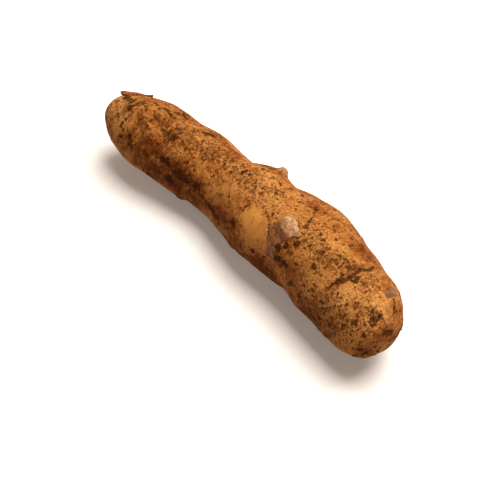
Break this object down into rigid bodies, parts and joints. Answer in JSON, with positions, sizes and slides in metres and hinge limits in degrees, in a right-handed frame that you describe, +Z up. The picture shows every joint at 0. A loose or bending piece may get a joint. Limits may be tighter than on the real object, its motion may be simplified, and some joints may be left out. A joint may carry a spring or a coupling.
{
  "type": "fingerling potato",
  "caption": "Long, slightly bent fingerling potato with blunt ends, shallow eyes, a torn stem end and scraps of loose skin, lying on a small flat spot.",
  "frame": {"origin": "middle of the tuber's box, at the level of the flat spot that it rests on", "axes": "+X along the tuber from the stem end to the rose end, +Z up as it lies"},
  "size_m": [0.1391, 0.0366, 0.0319],
  "materials": {
    "potato_skin": "matte"
  },
  "bodies": {
    "root": {"potato": "potato_skin"}
  },
  "joints": []
}
